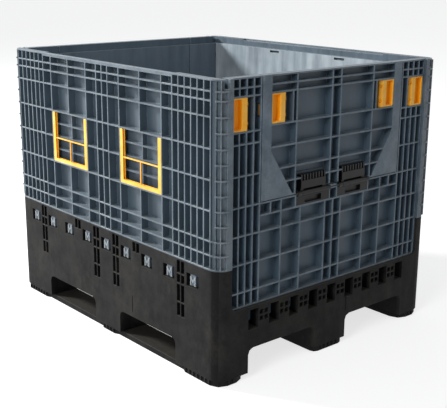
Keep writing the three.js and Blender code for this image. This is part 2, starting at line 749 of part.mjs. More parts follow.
function baseInterior() {
  const baseHalf = WIDTH / 2 - LONG_SIDE;
  const sideInner = LENGTH / 2 - END_SIDE;
  const top = [END_SIDE_TOP - SEAT_GAP, LONG_SIDE_TOP + past];
  const opening = roundedRectangle(
    -openingHalf,
    openingHalf,
    END_SIDE_TOP - SEAT_GAP,
    LONG_SIDE_TOP + END_CORNER_RADIUS + past,
    END_CORNER_RADIUS,
  );
  const lipFace = endFace + SEAT_GAP;
  return [
    block([HINGE_LEDGE - sideInner, sideInner - HINGE_LEDGE], [-baseHalf, baseHalf], [DECK_TOP, LONG_SIDE_TOP + past]),
    block([-sideInner, sideInner], [-baseHalf, baseHalf], [HINGE_LEDGE_TOP, LONG_SIDE_TOP + past]),
    block([-lipFace, lipFace], [-baseHalf, baseHalf], top),
    runAlongX(opening, -LENGTH / 2 - past, LENGTH / 2 + past),
  ];
}

// Windows, slots and a rod groove for the hooks under one long wall
function longHinge(side) {
  const across = (from, to) => [side * (longFace + from), side * (longFace + to)];
  const [width, height] = LONG_WINDOW;
  const plate = LONG_ROD_DEPTH - ROD_RADIUS - SEAT_GAP;
  const windowZ = [longRod.z - height / 2, longRod.z + height / 2];
  const places = hookPlaces(LONG_HOOK_PITCH);
  const windows = places.map((x) => block(
    [x - width / 2, x + width / 2],
    across(-past, LONG_ROD_DEPTH + HOOK_REACH + SLOT_CLEARANCE),
    windowZ,
  ));
  const slots = places.map((x) => block(
    [x - LONG_HOOK_WIDTH / 2 - SLOT_CLEARANCE, x + LONG_HOOK_WIDTH / 2 + SLOT_CLEARANCE],
    across(plate - HOOK_PLATE - SEAT_GAP, plate + SLOT_CLEARANCE),
    [windowZ[1] - past, LONG_SIDE_TOP + past],
  ));
  const half = LONG_ROD_LENGTH / 2 + SEAT_GAP;
  const reach = ROD_RADIUS + SEAT_GAP;
  const groove = block([-half, half], across(plate, LONG_SIDE + past), [longRod.z - reach, longRod.z + reach]);
  return [...windows, ...slots, groove];
}

// The same under one end wall, open to the inside so that the hooks can turn
function endHinge(side) {
  const [width, height] = END_WINDOW;
  const inner = LENGTH / 2 - END_SIDE - HINGE_LEDGE - past;
  const windowZ = [endRod.z - height / 2, endRod.z + height / 2];
  const places = hookPlaces(END_HOOK_PITCH);
  const windows = places.map((y) => block(
    [side * inner, side * (LENGTH / 2 + past)],
    [y - width / 2, y + width / 2],
    windowZ,
  ));
  const plate = endRod.x + ROD_RADIUS + SEAT_GAP + HOOK_PLATE;
  const slots = places.map((y) => block(
    [side * inner, side * (plate + SLOT_CLEARANCE)],
    [y - END_HOOK_WIDTH / 2 - SLOT_CLEARANCE, y + END_HOOK_WIDTH / 2 + SLOT_CLEARANCE],
    [windowZ[1] - past, END_SIDE_TOP + past],
  ));
  const half = END_ROD_LENGTH / 2 + SEAT_GAP;
  const reach = ROD_RADIUS + SEAT_GAP;
  const groove = block(
    [side * inner, side * (endRod.x + reach)],
    [-half, half],
    [endRod.z - reach, endRod.z + reach],
  );
  return [...windows, ...slots, groove];
}

// Two columns of cells, from the top down
function ventCells(middle, top, rows) {
  const columns = bothSides.map((side) => middle + side * (VENT_CELL + RIB) / 2);
  let z = top;
  return rows.flatMap((row) => {
    const cell = [z - row, z];
    z -= row + RIB;
    return columns.map((at) => ({ across: [at - VENT_CELL / 2, at + VENT_CELL / 2], cell }));
  });
}

function longVents() {
  const tall = mirrored(TALL_VENT_PITCHES).flatMap((n) => ventCells(n * LONG_HOOK_PITCH, VENT_TOP, TALL_VENT_ROWS));
  const short = mirrored(SHORT_VENT_PITCHES).flatMap((n) => ventCells(n * LONG_HOOK_PITCH, VENT_TOP, SHORT_VENT_ROWS));
  const depth = [longFace - past, longFace + VENT_DEPTH];
  return [...tall, ...short].map(({ across, cell }) => block(across, depth, cell));
}

function endVents(side) {
  const places = hookPlaces(END_HOOK_PITCH);
  const middles = places.slice(1).map((y, i) => (y + places[i]) / 2);
  const top = endRod.z + VENT_CELL + RIB / 2 + RIB;
  const depth = [side * (LENGTH / 2 - END_VENT_DEPTH), side * (LENGTH / 2 + past)];
  return middles.flatMap((y) => ventCells(y, top, [VENT_CELL, VENT_CELL]))
    .map(({ across, cell }) => block(depth, across, cell));
}

// One narrow slit over the edge of a fork opening on each face
function mouldSlits(side) {
  const [width, height, depth] = SLIT;
  const foot = FORK_TOP + height / 4;
  const x = side * MIDDLE_FOOT_LENGTH;
  const y = side * MIDDLE_FOOT_WIDTH / 2;
  return [
    block([x - width / 2, x + width / 2], [side * (longFace - past), side * (longFace + depth)], [foot, foot + height]),
    block([side * (LENGTH / 2 - depth), side * (LENGTH / 2 + past)], [y - width / 2, y + width / 2], [foot, foot + height]),
  ];
}

const footColumns = [-(LENGTH - END_FOOT) / 2, 0, (LENGTH - END_FOOT) / 2];
const sideRow = (WIDTH - SIDE_FOOT) / 2;

function spigots(y, gap) {
  return footColumns.map((x) => block(
    [x - SPIGOT_LENGTH / 2 - gap, x + SPIGOT_LENGTH / 2 + gap],
    [y - SPIGOT_WIDTH / 2 - gap, y + SPIGOT_WIDTH / 2 + gap],
    [SKID_HEIGHT - past, SKID_HEIGHT + SPIGOT_HEIGHT + gap],
  ));
}

function baseTray() {
  const outline = roundedRectangle(-LENGTH / 2, LENGTH / 2, -WIDTH / 2, WIDTH / 2, CORNER_RADIUS);
  const body = raised(outline, footTop, LONG_SIDE_TOP - SEAT_GAP);
  return cut(body, [
    ...baseInterior(),
    ...forkChannels(),
    ...bothSides.flatMap((side) => longHinge(side)),
    ...bothSides.flatMap((side) => endHinge(side)),
    ...longVents(),
    ...endVents(1),
    ...bothSides.flatMap((side) => mouldSlits(side)),
    ...[-sideRow, 0, sideRow].flatMap((y) => spigots(y, SEAT_GAP)),
  ]);
}

// Skid under three feet, narrower between them
function skid(y, footWidth, radius) {
  const half = footWidth / 2 - SKID_INSET;
  const pad = (middle, length) => roundedRectangle(
    middle - length / 2 + SKID_INSET,
    middle + length / 2 - SKID_INSET,
    y - half,
    y + half,
    radius,
  );
  const pads = [
    raised(pad(footColumns[0], END_FOOT), 0, SKID_HEIGHT, 1),
    raised(pad(footColumns[1], MIDDLE_FOOT_LENGTH), 0, SKID_HEIGHT, 1),
    raised(pad(footColumns[2], END_FOOT), 0, SKID_HEIGHT, 1),
  ];
  const rail = block(
    [footColumns[0], footColumns[2]],
    [y - half + SKID_WAIST, y + half - SKID_WAIST],
    [0, SKID_HEIGHT],
  );
  return join(...pads, rail, ...spigots(y, 0));
}

// Rods

const longHingeRod = () => {
  const geometry = new THREE.CylinderGeometry(ROD_RADIUS, ROD_RADIUS, LONG_ROD_LENGTH, 12);
  geometry.rotateZ(Math.PI / 2);
  geometry.translate(0, longRod.y, longRod.z);
  return solidOf(geometry);
};

const endHingeRod = () => barAlongY(endRod.x, endRod.z, ROD_RADIUS, -END_ROD_LENGTH / 2, END_ROD_LENGTH / 2);

// Materials

const material = (color, roughness) => new THREE.MeshStandardMaterial({
  color,
  roughness,
  metalness: 0,
  flatShading: true,
});
const GREY = '#5c666e';
const BLACK = '#242424';
const HINGE_BLACK = '#141416';
const YELLOW = '#f0a018';
const STEEL = '#9a9c9e';

function mesh(name, solid, color, roughness = 0.55) {
  const { vertProperties, triVerts } = solid.getMesh();
  const geometry = new THREE.BufferGeometry();
  geometry.setAttribute('position', new THREE.BufferAttribute(vertProperties, 3));
  geometry.setIndex(new THREE.BufferAttribute(triVerts, 1));
  geometry.computeVertexNormals();
  const piece = new THREE.Mesh(geometry, material(color, roughness));
  piece.name = name;
  return piece;
}

// The same solid for the other side of the XZ plane
const reflectY = (solid) => solid.mirror([0, 1, 0]);

// Scene graph

const bin = new THREE.Group();
bin.name = 'pallet_bin';

const cornerFootRadius = CORNER_RADIUS - SKID_INSET;
const middleFootRadius = FORK_RADIUS;
bin.add(mesh('base_tray', baseTray(), BLACK, 0.6));
bin.add(mesh('skid_front', skid(-sideRow, SIDE_FOOT, cornerFootRadius), BLACK, 0.6));
bin.add(mesh('skid_middle', skid(0, MIDDLE_FOOT_WIDTH, middleFootRadius), BLACK, 0.6));
bin.add(mesh('skid_rear', skid(sideRow, SIDE_FOOT, cornerFootRadius), BLACK, 0.6));

const longRodSolid = longHingeRod();
for (const [side, turn, grid] of [['front', 0, fullGrid], ['rear', Math.PI, wideGrid]]) {
  const group = new THREE.Group();
  group.rotation.z = turn;
  group.add(mesh(`long_wall_${side}`, longWall(grid), GREY));
  group.add(mesh(`long_hinge_rod_${side}`, longRodSolid, STEEL, 0.35));
  bin.add(group);
}

const holderSolid = cardHolder();
const holders = new THREE.Group();
holders.add(mesh('card_holder_right', holderSolid, YELLOW, 0.45));
holders.add(mesh('card_holder_left', holderSolid.mirror([1, 0, 0]), YELLOW, 0.45));
bin.add(holders);

const doorSolid = dropDoor();
const endRodSolid = endHingeRod();
const handed = (solid) => ({ near: reflectY(solid), far: solid });
const wallLatches = handed(latch(wallLatchPlace));
const doorLatches = handed(latch(doorLatchPlace));
const brackets = handed(hingeBracket());
const leaves = handed(hingeLeaf());
const pins = handed(hingePin());

// The right-hand end wall has the full grid, the left-hand one only the wider ribs
const wideSideRibs = [sideRibs[0], sideRibs[1], lastSideRib];
for (const [end, turn, ribs] of [['right', 0, sideRibs], ['left', Math.PI, wideSideRibs]]) {
  const group = new THREE.Group();
  group.rotation.z = turn;
  group.add(mesh(`end_wall_${end}`, endWall(ribs), GREY));
  group.add(mesh(`drop_door_${end}`, doorSolid, GREY));
  group.add(mesh(`end_hinge_rod_${end}`, endRodSolid, STEEL, 0.35));
  for (const hand of ['near', 'far']) {
    group.add(mesh(`wall_latch_${end}_${hand}`, wallLatches[hand], YELLOW, 0.45));
    group.add(mesh(`door_latch_${end}_${hand}`, doorLatches[hand], YELLOW, 0.45));
    group.add(mesh(`hinge_bracket_${end}_${hand}`, brackets[hand], HINGE_BLACK, 0.5));
    group.add(mesh(`hinge_leaf_${end}_${hand}`, leaves[hand], HINGE_BLACK, 0.5));
    group.add(mesh(`hinge_pin_${end}_${hand}`, pins[hand], STEEL, 0.35));
  }
  bin.add(group);
}

export default bin;
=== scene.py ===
# Collapsible plastic pallet bin: the finished look of each piece, in metres, +Z up.
# The bin stands closed on a pale floor, its 1200 mm side along X and its front wall at -Y.

import math

import bpy
from mathutils import Matrix, Vector


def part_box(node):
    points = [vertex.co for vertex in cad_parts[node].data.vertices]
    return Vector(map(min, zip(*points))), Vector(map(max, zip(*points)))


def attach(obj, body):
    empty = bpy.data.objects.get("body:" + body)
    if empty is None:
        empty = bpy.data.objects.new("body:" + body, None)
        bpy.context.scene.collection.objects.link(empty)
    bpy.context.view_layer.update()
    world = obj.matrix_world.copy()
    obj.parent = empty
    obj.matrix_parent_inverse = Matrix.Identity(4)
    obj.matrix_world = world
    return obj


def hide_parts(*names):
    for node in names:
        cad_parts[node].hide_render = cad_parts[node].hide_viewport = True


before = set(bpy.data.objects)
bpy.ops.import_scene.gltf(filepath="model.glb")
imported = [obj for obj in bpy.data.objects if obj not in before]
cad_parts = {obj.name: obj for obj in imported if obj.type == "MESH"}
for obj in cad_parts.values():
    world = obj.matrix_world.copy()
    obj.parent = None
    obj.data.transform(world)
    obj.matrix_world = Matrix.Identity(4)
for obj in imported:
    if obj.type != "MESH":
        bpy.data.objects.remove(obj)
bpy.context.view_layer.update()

# Camera
# It stands off the corner between the front wall and the right end wall, a little above
# the rim, with a mild telephoto lens and a slight roll, as the photograph was taken.

view_azimuth = math.radians(49.19)
view_elevation = math.radians(15.23)
view_roll = math.radians(0.43)
level_right = Vector((math.cos(view_azimuth), math.sin(view_azimuth), 0))
away = Vector((
    math.sin(view_azimuth) * math.cos(view_elevation),
    -math.cos(view_azimuth) * math.cos(view_elevation),
    math.sin(view_elevation),
))
level_up = away.cross(level_right)
rolled_right = math.cos(view_roll) * level_right + math.sin(view_roll) * level_up
rolled_up = math.cos(view_roll) * level_up - math.sin(view_roll) * level_right

camera_data = bpy.data.cameras.new("camera")
camera_data.lens = 72.02  # millimetres, on a sensor 36 mm wide
camera_data.sensor_width = 36
camera_data.sensor_fit = "HORIZONTAL"
camera = bpy.data.objects.new("camera", camera_data)
bpy.context.scene.collection.objects.link(camera)
turned = Matrix((rolled_right, rolled_up, away)).transposed().to_4x4()
camera_place = (2.4959, -2.1185, 1.2725)
camera.matrix_world = Matrix.Translation(camera_place) @ turned
bpy.context.scene.camera = camera

# Studio
# A wide pale floor that keeps the bin's shadow, a white surround, one large soft lamp from
# the left and a weaker one from the front. The surround lights the shaded faces weakly.

bpy.context.scene.view_settings.view_transform = "Standard"


def add_node(tree, kind, inputs=None, **settings):
    """A node in a tree, with its settings made and its inputs set or linked."""
    node = tree.nodes.new(kind)
    for name, value in settings.items():
        setattr(node, name, value)
    for name, value in (inputs or {}).items():
        if isinstance(value, bpy.types.NodeSocket):
            tree.links.new(value, node.inputs[name])
        else:
            node.inputs[name].default_value = value
    return node


def shows_white(tree):
    """1 for the rays that see the white backdrop: the camera's, mirrored and clear ones."""
    rays = add_node(tree, "ShaderNodeLightPath")
    mirrored = add_node(tree, "ShaderNodeMath", operation="MAXIMUM", inputs={
        0: rays.outputs["Is Glossy Ray"], 1: rays.outputs["Is Transmission Ray"],
    })
    seen = add_node(tree, "ShaderNodeMath", operation="MAXIMUM", inputs={
        0: rays.outputs["Is Camera Ray"], 1: mirrored.outputs[0],
    })
    return seen.outputs[0]


sky_strength = 0.36
world = bpy.data.worlds.new("studio")
world.use_nodes = True
world.node_tree.nodes.clear()
seen = shows_white(world.node_tree)
sky = add_node(
    world.node_tree, "ShaderNodeBackground", inputs={"Color": (0.96, 0.98, 1.0, 1), "Strength": sky_strength},
)
white = add_node(world.node_tree, "ShaderNodeBackground", inputs={"Color": (1, 1, 1, 1), "Strength": 1.0})
backdrop = add_node(
    world.node_tree, "ShaderNodeMixShader", inputs={0: seen, 1: sky.outputs[0], 2: white.outputs[0]},
)
add_node(world.node_tree, "ShaderNodeOutputWorld", inputs={"Surface": backdrop.outputs[0]})
bpy.context.scene.world = world


def soft_lamp(name, place, target, size, watts):
    """A round soft lamp that points at a target."""
    lamp = bpy.data.lights.new(name, "AREA")
    lamp.shape = "DISK"
    lamp.size = size
    lamp.energy = watts
    holder = bpy.data.objects.new(name, lamp)
    holder.location = place
    holder.rotation_euler = (Vector(target) - Vector(place)).to_track_quat("-Z", "Y").to_euler()
    bpy.context.scene.collection.objects.link(holder)


soft_lamp("left_lamp", (-4.8, -3.1, 3.6), (0, 0, 0.5), 1.2, 660)
soft_lamp("front_lamp", (1.9, -4.9, 2.6), (0.2, 0, 0.5), 2.0, 120)

bpy.ops.object.select_all(action="DESELECT")
bpy.ops.mesh.primitive_plane_add(size=60)
floor = bpy.context.object
floor.name = "floor"
floor_lift = 0.72  # what the floor shows beyond the light on it, so that it is near white
floor_finish = bpy.data.materials.new("pale_floor")
floor_finish.use_nodes = True
tree = floor_finish.node_tree
tree.nodes.clear()
paint = add_node(tree, "ShaderNodeBsdfDiffuse", inputs={"Color": (0.5, 0.5, 0.5, 1)})
lift = add_node(
    tree, "ShaderNodeMath", operation="MULTIPLY", inputs={0: shows_white(tree), 1: floor_lift}
)
glow = add_node(tree, "ShaderNodeEmission", inputs={"Color": (1, 1, 1, 1), "Strength": lift.outputs[0]})
both = add_node(tree, "ShaderNodeAddShader", inputs={0: paint.outputs[0], 1: glow.outputs[0]})
add_node(tree, "ShaderNodeOutputMaterial", inputs={"Surface": both.outputs[0]})
floor.data.materials.append(floor_finish)

# Pallet base
# One black moulding: a deck on nine feet, low ends and high long sides with windows for the
# walls' hooks. All four sides have vents. The black is scuffed, its outermost faces are made a little paler
# as wear and as painted highlight, and dust lies on it.


def make_group(name, inputs, outputs):
    """An empty shader group with its sockets, and its own input and output nodes."""
    group = bpy.data.node_groups.new(name, "ShaderNodeTree")
    kinds = {"value": "NodeSocketFloat", "colour": "NodeSocketColor"}
    for label, kind in inputs:
        group.interface.new_socket(name=label, in_out="INPUT", socket_type=kinds[kind])
    for label, kind in outputs:
        group.interface.new_socket(name=label, in_out="OUTPUT", socket_type=kinds[kind])
    return group, group.nodes.new("NodeGroupInput"), group.nodes.new("NodeGroupOutput")


def mixed(tree, factor, first, second):
    """The colour between two colours."""
    node = add_node(
        tree, "ShaderNodeMix", data_type="RGBA", inputs={0: factor, 6: first, 7: second}
    )
    return node.outputs[2]


def worked(tree, operation, *values):
    """The result of a sum on values."""
    return add_node(tree, "ShaderNodeMath", operation=operation, inputs=dict(enumerate(values))).outputs[0]


def ranged(tree, value, low, high, to_low=0.0, to_high=1.0):
    """A value brought from one range to another, and held there."""
    node = add_node(
        tree, "ShaderNodeMapRange",
        inputs={"Value": value, "From Min": low, "From Max": high, "To Min": to_low, "To Max": to_high},
    )
    return node.outputs[0]


def noise(tree, stretch, scale, detail=3.0, roughness=0.55):
    """Noise over the piece's own coordinates, stretched along its axes."""
    place = add_node(tree, "ShaderNodeTexCoord").outputs["Object"]
    mapped = add_node(tree, "ShaderNodeMapping", inputs={"Vector": place, "Scale": stretch})
    node = add_node(
        tree, "ShaderNodeTexNoise",
        inputs={"Vector": mapped.outputs[0], "Scale": scale, "Detail": detail, "Roughness": roughness},
    )
    return node.outputs["Fac"]


# Flow clouds and downward streaks in the moulded colour, with a fine spark-eroded grain
moulded_skin, given, made = make_group(
    "moulded_skin",
    [("Colour", "colour"), ("Roughness", "value"), ("Clouds", "value"), ("Streaks", "value")],
    [("Colour", "colour"), ("Roughness", "value"), ("Height", "value")],
)
tree = moulded_skin
clouds = ranged(tree, noise(tree, (1, 1, 1), 7, 5), 0.3, 0.7, -0.5, 0.5)
streaks = ranged(tree, noise(tree, (45, 45, 3), 1, 3), 0.3, 0.7, -0.5, 0.5)
grain = noise(tree, (1, 1, 1), 1300, 2)
tone = worked(tree, "ADD", worked(tree, "MULTIPLY", clouds, given.outputs["Clouds"]), 1.0)
tone = worked(tree, "ADD", tone, worked(tree, "MULTIPLY", streaks, given.outputs["Streaks"]))
tone = worked(tree, "ADD", tone, ranged(tree, grain, 0.3, 0.7, -0.05, 0.05))
tinted = add_node(
    tree, "ShaderNodeVectorMath", operation="SCALE",
    inputs={0: given.outputs["Colour"], "Scale": tone},
)
tree.links.new(tinted.outputs[0], made.inputs["Colour"])
tree.links.new(
    worked(tree, "ADD", given.outputs["Roughness"], worked(tree, "MULTIPLY", streaks, 0.12)),
    made.inputs["Roughness"],
)
tree.links.new(grain, made.inputs["Height"])

# Rubbed edges: pale broken lines where two faces meet
rubbed_edges, given, made = make_group(
    "rubbed_edges",
    [("Colour", "colour"), ("Worn", "colour"), ("Amount", "value")],
    [("Colour", "colour")],
)
tree = rubbed_edges
rounded = add_node(tree, "ShaderNodeBevel", samples=4, inputs={"Radius": 0.0016})
faced = add_node(tree, "ShaderNodeNewGeometry")
agreement = add_node(
    tree, "ShaderNodeVectorMath", operation="DOT_PRODUCT",
    inputs={0: rounded.outputs[0], 1: faced.outputs["Normal"]},
)
edge = ranged(tree, agreement.outputs["Value"], 0.99, 0.86)
broken = ranged(tree, noise(tree, (1, 1, 1), 55, 4, 0.65), 0.38, 0.62)
edge = worked(tree, "MULTIPLY", worked(tree, "MULTIPLY", edge, broken), given.outputs["Amount"])
tree.links.new(
    mixed(tree, edge, given.outputs["Colour"], given.outputs["Worn"]), made.inputs["Colour"]
)

# Dust: it lies on what faces up and clings in patches to upright faces
settled_dust, given, made = make_group(
    "settled_dust",
    [
        ("Colour", "colour"), ("Roughness", "value"), ("Dust", "colour"),
        ("Lying", "value"), ("Clinging", "value"),
    ],
    [("Colour", "colour"), ("Roughness", "value")],
)
tree = settled_dust
faced = add_node(tree, "ShaderNodeNewGeometry")
upward = add_node(tree, "ShaderNodeSeparateXYZ", inputs={0: faced.outputs["Normal"]}).outputs["Z"]
lying = worked(tree, "MULTIPLY", ranged(tree, upward, 0.3, 0.95), given.outputs["Lying"])
patches = ranged(tree, noise(tree, (1, 1, 0.6), 11, 6, 0.75), 0.48, 0.72)
clinging = worked(tree, "MULTIPLY", patches, given.outputs["Clinging"])
cover = worked(tree, "MAXIMUM", lying, clinging)
cover = worked(tree, "MULTIPLY", cover, ranged(tree, noise(tree, (1, 1, 1), 160, 3), 0.3, 0.6, 0.55, 1.0))
tree.links.new(mixed(tree, cover, given.outputs["Colour"], given.outputs["Dust"]), made.inputs["Colour"])
tree.links.new(
    worked(tree, "ADD", given.outputs["Roughness"], worked(tree, "MULTIPLY", cover, 0.25)),
    made.inputs["Roughness"],
)

# Scuffs and painted highlight: goods have rubbed the smooth inside pale, and the outermost faces are made
# paler, partly as handling wear and partly as a painted highlight on faces that stand proud of the shaded
# pockets
scuffs_and_painted_highlight, given, made = make_group(
    "scuffs_and_painted_highlight",
    [("Colour", "colour"), ("Wear and highlight colour", "colour"), ("Inside", "value"), ("Outer wear and highlight", "value")],
    [("Colour", "colour")],
)
tree = scuffs_and_painted_highlight
inner_half_length, inner_half_width = 0.5505, 0.4605
outer_half_length, outer_half_width = 0.5872, 0.4985
place = add_node(tree, "ShaderNodeSeparateXYZ", inputs={
    0: add_node(tree, "ShaderNodeTexCoord").outputs["Object"],
})
inside = worked(
    tree, "MULTIPLY",
    worked(tree, "LESS_THAN", worked(tree, "ABSOLUTE", place.outputs["X"]), inner_half_length),
    worked(tree, "LESS_THAN", worked(tree, "ABSOLUTE", place.outputs["Y"]), inner_half_width),
)
scuffs = worked(
    tree, "MULTIPLY",
    ranged(tree, noise(tree, (22, 22, 2.5), 1, 5, 0.6), 0.3, 0.62, 0.35, 1.0),
    ranged(tree, noise(tree, (1, 1, 1), 4, 4), 0.3, 0.6, 0.5, 1.0),
)
pale_wear_and_highlight = worked(tree, "MULTIPLY", worked(tree, "MULTIPLY", inside, scuffs), given.outputs["Inside"])
# Painted highlight with wear: faces beyond the outer planes turn paler in blotches
outermost = worked(
    tree, "MAXIMUM",
    worked(tree, "GREATER_THAN", worked(tree, "ABSOLUTE", place.outputs["X"]), outer_half_length),
    worked(tree, "GREATER_THAN", worked(tree, "ABSOLUTE", place.outputs["Y"]), outer_half_width),
)
blotches = ranged(tree, noise(tree, (1, 1, 1), 12, 7, 0.72), 0.4, 0.66, 0.1, 1.0)
handled_and_highlit = worked(tree, "MULTIPLY", worked(tree, "MULTIPLY", outermost, blotches), given.outputs["Outer wear and highlight"])
pale_wear_and_highlight = worked(tree, "MAXIMUM", pale_wear_and_highlight, handled_and_highlit)
tree.links.new(
    mixed(tree, pale_wear_and_highlight, given.outputs["Colour"], given.outputs["Wear and highlight colour"]), made.inputs["Colour"]
)


def srgb(red, green, blue):
    """A linear colour from the 0 to 255 values that it shows as."""
    def linear(value):
        share = value / 255
        return share / 12.92 if share <= 0.04045 else ((share + 0.055) / 1.055) ** 2.4
    return (linear(red), linear(green), linear(blue), 1)


def plastic(
    name, colour, roughness, worn_and_highlit, dust, clouds, streaks, rubbed, lying, clinging,
    inside=0.0, outer_wear_and_highlight=0.0, gloss=0.5,
):
    """A moulded plastic with its clouds and streaks, rubbed edges, scuffs, a painted highlight on its
    outermost faces, dust and grain.
    """
    finish = bpy.data.materials.new(name)
    finish.use_nodes = True
    tree = finish.node_tree
    tree.nodes.clear()
    skin = add_node(tree, "ShaderNodeGroup", node_tree=moulded_skin, inputs={
        "Colour": colour, "Roughness": roughness, "Clouds": clouds, "Streaks": streaks,
    })
    edges = add_node(tree, "ShaderNodeGroup", node_tree=rubbed_edges, inputs={
        "Colour": skin.outputs["Colour"], "Worn": worn_and_highlit, "Amount": rubbed,
    })
    # Scuffs inside, and the outermost faces painted paler as wear and as painted highlight
    wear_and_highlight = add_node(tree, "ShaderNodeGroup", node_tree=scuffs_and_painted_highlight, inputs={
        "Colour": edges.outputs["Colour"], "Wear and highlight colour": worn_and_highlit, "Inside": inside, "Outer wear and highlight": outer_wear_and_highlight,
    })
    dusty = add_node(tree, "ShaderNodeGroup", node_tree=settled_dust, inputs={
        "Colour": wear_and_highlight.outputs["Colour"], "Roughness": skin.outputs["Roughness"],
        "Dust": dust, "Lying": lying, "Clinging": clinging,
    })
    bump = add_node(tree, "ShaderNodeBump", inputs={
        "Height": skin.outputs["Height"], "Strength": 0.25, "Distance": 0.0004,
    })
    surface = add_node(tree, "ShaderNodeBsdfPrincipled", inputs={
        "Base Color": dusty.outputs["Colour"], "Roughness": dusty.outputs["Roughness"],
        "Normal": bump.outputs[0], "IOR": 1.49, "Specular IOR Level": gloss,
    })
    add_node(tree, "ShaderNodeOutputMaterial", inputs={"Surface": surface.outputs[0]})
    return finish


black_moulding = plastic(
    "black_moulding", srgb(12, 12, 13), 0.62, srgb(74, 74, 72), srgb(84, 81, 75),
    clouds=0.6, streaks=0.5, rubbed=0.6, lying=0.35, clinging=0.25, outer_wear_and_highlight=0.2, gloss=0.12,
)


def only(piece):
    """Leaves this one piece selected and active."""
    bpy.ops.object.select_all(action="DESELECT")
    piece.select_set(True)
    bpy.context.view_layer.objects.active = piece


merge_distance = 0.00002


def copy_of(node, name, half_turn=False):
    """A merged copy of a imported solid, to shape further, turned half round if asked."""
    piece = bpy.data.objects.new(name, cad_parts[node].data.copy())
    bpy.context.scene.collection.objects.link(piece)
    piece.data.materials.clear()
    if half_turn:
        piece.data.transform(Matrix.Rotation(math.pi, 4, "Z"))
    only(piece)
    bpy.ops.mesh.customdata_custom_splitnormals_clear()
    bpy.ops.object.mode_set(mode="EDIT")
    bpy.ops.mesh.select_all(action="SELECT")
    bpy.ops.mesh.remove_doubles(threshold=merge_distance)
    bpy.ops.object.mode_set(mode="OBJECT")
    return piece


def round_edges(piece, width, segments=1, limit=35):
    """Rounds a piece's edges and smooths its shallow angles."""
    only(piece)
    bevel = piece.modifiers.new("rounded_edges", "BEVEL")
    bevel.width = width
    bevel.segments = segments
    bevel.limit_method = "ANGLE"
    bevel.angle_limit = math.radians(limit)
    bevel.use_clamp_overlap = False
    bpy.ops.object.modifier_apply(modifier=bevel.name)
    bpy.ops.object.shade_smooth_by_angle(angle=math.radians(38))
    flat_faces = piece.modifiers.new("flat_faces", "WEIGHTED_NORMAL")
    flat_faces.keep_sharp = True
    bpy.ops.object.modifier_apply(modifier=flat_faces.name)


def finish_piece(piece, material, body, slot, *nodes):
    """Gives a piece its material, the body that it moves with and the solids it stands for."""
    piece.data.materials.clear()
    piece.data.materials.append(material)
    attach(piece, body)
    if nodes:
        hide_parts(*nodes)


def cut_away(piece, through, facing):
    """Cuts a piece along a plane and drops what lies on the side that the plane faces."""
    only(piece)
    bpy.ops.object.mode_set(mode="EDIT")
    bpy.ops.mesh.select_all(action="SELECT")
    bpy.ops.mesh.bisect(plane_co=through, plane_no=facing, clear_outer=True, use_fill=False)
    bpy.ops.object.mode_set(mode="OBJECT")


def joined(first, *others):
    """Several pieces as one mesh, with the edges that they share merged."""
    only(first)
    for other in others:
        other.select_set(True)
    bpy.ops.object.join()
    bpy.ops.object.mode_set(mode="EDIT")
    bpy.ops.mesh.select_all(action="SELECT")
    bpy.ops.mesh.remove_doubles(threshold=merge_distance)
    bpy.ops.object.mode_set(mode="OBJECT")
    return first


# The front and right half is used twice, turned half round for the rear and left
base = copy_of("base_tray", "pallet_base")
base_rear = copy_of("base_tray", "pallet_base_rear", half_turn=True)
half_length, half_width = 0.6, 0.5  # of the bin's footprint
corner_to_corner = Vector((-half_width, half_length, 0))
cut_away(base, (0, 0, 0), corner_to_corner)
cut_away(base_rear, (0, 0, 0), -corner_to_corner)
base = joined(base, base_rear)
round_edges(base, 0.0009)
finish_piece(base, black_moulding, "base", "black_base", "base_tray")

# Skids
# Three black runners, each clipped under three feet by spigots and narrower between them.
# Small upright ribs stand along their outer edges, up to the face of the feet.


def block(name, x, y, z):
    """A box between two values on each axis, to shape further."""
    bpy.ops.object.select_all(action="DESELECT")
    bpy.ops.mesh.primitive_cube_add(size=1, location=[(low + high) / 2 for low, high in (x, y, z)])
    piece = bpy.context.object
    piece.name = name
    piece.scale = [high - low for low, high in (x, y, z)]
    bpy.ops.object.transform_apply(location=True, rotation=True, scale=True)
    return piece


def mirrored_copy(piece, name, across):
    """A copy on the other side of a plane through the middle, or turned half round."""
    other = bpy.data.objects.new(name, piece.data.copy())
    bpy.context.scene.collection.objects.link(other)
    scale = Vector((-1 if "x" in across else 1, -1 if "y" in across else 1, 1))
    other.data.transform(Matrix.Diagonal(scale).to_4x4())
    if len(across) == 1:
        only(other)
        bpy.ops.object.mode_set(mode="EDIT")
        bpy.ops.mesh.select_all(action="SELECT")
        bpy.ops.mesh.normals_make_consistent(inside=False)
        bpy.ops.object.mode_set(mode="OBJECT")
    return other


for row in ("front", "middle", "rear"):
    skid = copy_of(f"skid_{row}", f"skid_{row}_shaped")
    round_edges(skid, 0.0012)
    finish_piece(skid, black_moulding, "base", "black_base", f"skid_{row}")

rib_pitch = 0.0195
rib_width = 0.005
rib_rise = (0.003, 0.0195)
front_depth = (-0.4995, -0.4955)
end_depth = (0.5955, 0.5995)
front_rows = ((-0.5585, 7), (-0.03175, 4), (0.4365, 7))  # where each row starts, and its ribs
end_rows = ((-0.4545, 2), (-0.0415, 5), (0.430, 2))
rib_rows = [
    (block("foot_ribs", (start, start + rib_width), front_depth, rib_rise), (rib_pitch, 0, 0), count)
    for start, count in front_rows
] + [
    (block("foot_ribs", end_depth, (start, start + rib_width), rib_rise), (0, rib_pitch, 0), count)
    for start, count in end_rows
]
for row, step, count in rib_rows:
    repeated = row.modifiers.new("row_of_ribs", "ARRAY")
    repeated.count = count
    repeated.use_relative_offset = False
    repeated.use_constant_offset = True
    repeated.constant_offset_displace = step
    only(row)
    bpy.ops.object.modifier_apply(modifier=repeated.name)
foot_ribs = joined(*[row for row, step, count in rib_rows])
foot_ribs.name = "foot_ribs_front_right"
